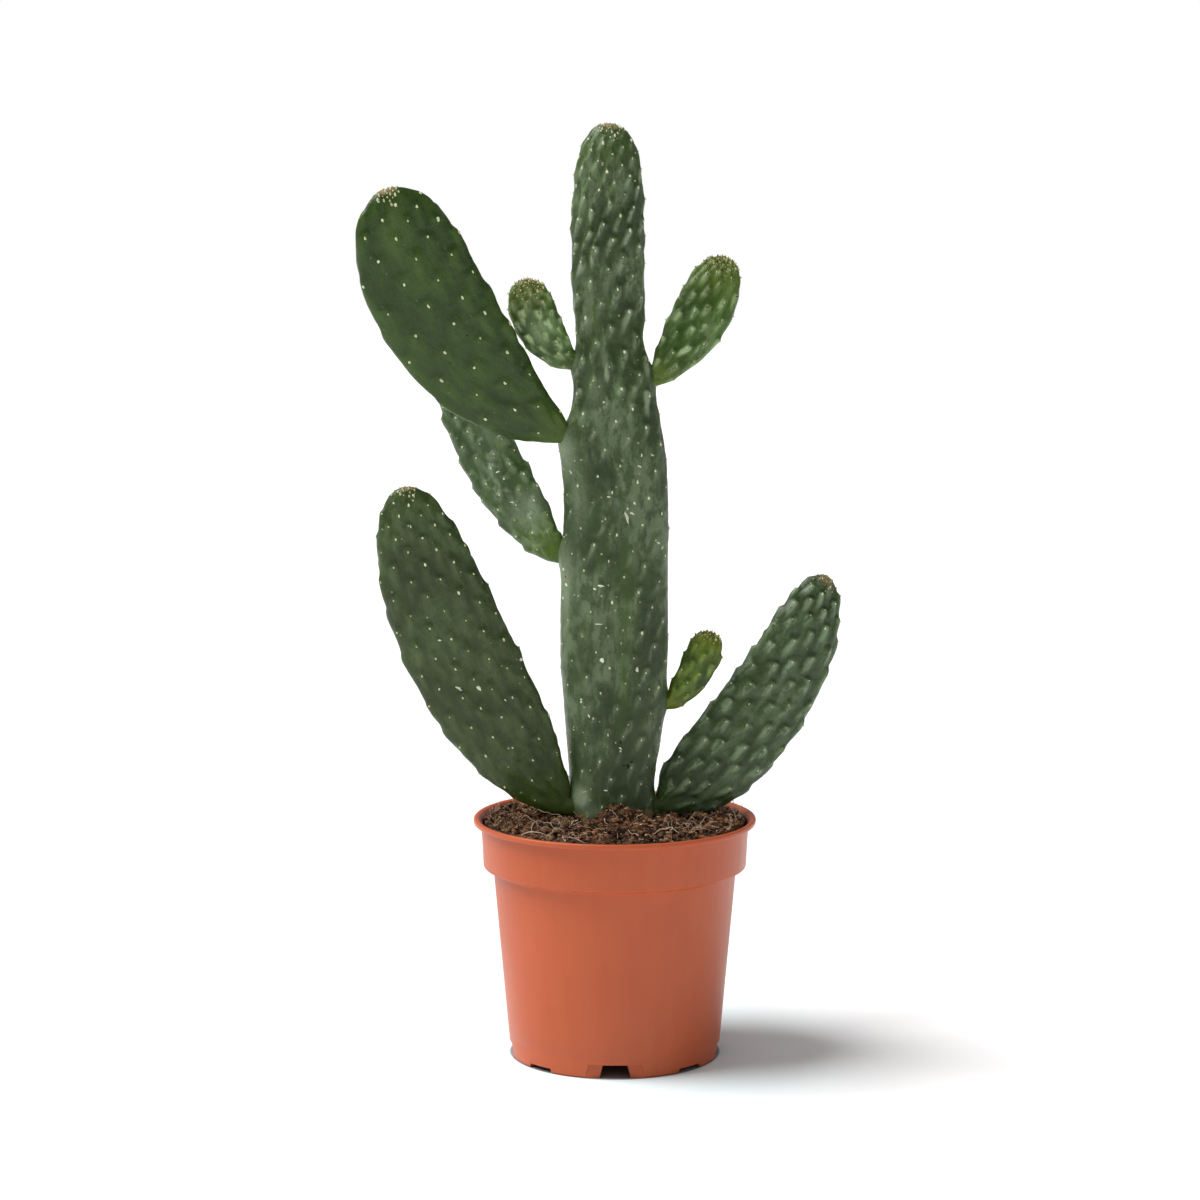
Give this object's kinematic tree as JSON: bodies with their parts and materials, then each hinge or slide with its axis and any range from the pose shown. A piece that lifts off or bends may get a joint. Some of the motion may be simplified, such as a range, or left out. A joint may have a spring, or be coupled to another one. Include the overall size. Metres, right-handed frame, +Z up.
{
  "type": "potted paddle cactus",
  "caption": "Upright flat-stemmed cactus with side paddles, rooted in compost in a round plastic nursery pot.",
  "frame": {"origin": "on the standing surface, in the middle of the whole plant's outline seen from above", "axes": "+Z up, -Y towards the side that the picture shows, +X to its right"},
  "size_m": [0.2876, 0.17, 0.5598],
  "materials": {
    "pot_plastic": "satin",
    "compost": "matte",
    "mature_skin": "satin",
    "young_skin": "satin"
  },
  "bodies": {
    "root": {"pot": "pot_plastic", "potting_soil": "compost", "trunk": "mature_skin", "pad_upper_left": "mature_skin", "pad_behind_left": "mature_skin", "pad_lower_left": "mature_skin", "pad_lower_right": "mature_skin", "pad_small_left": "young_skin", "pad_small_right": "young_skin", "pad_small_lower_right": "young_skin"}
  },
  "joints": []
}
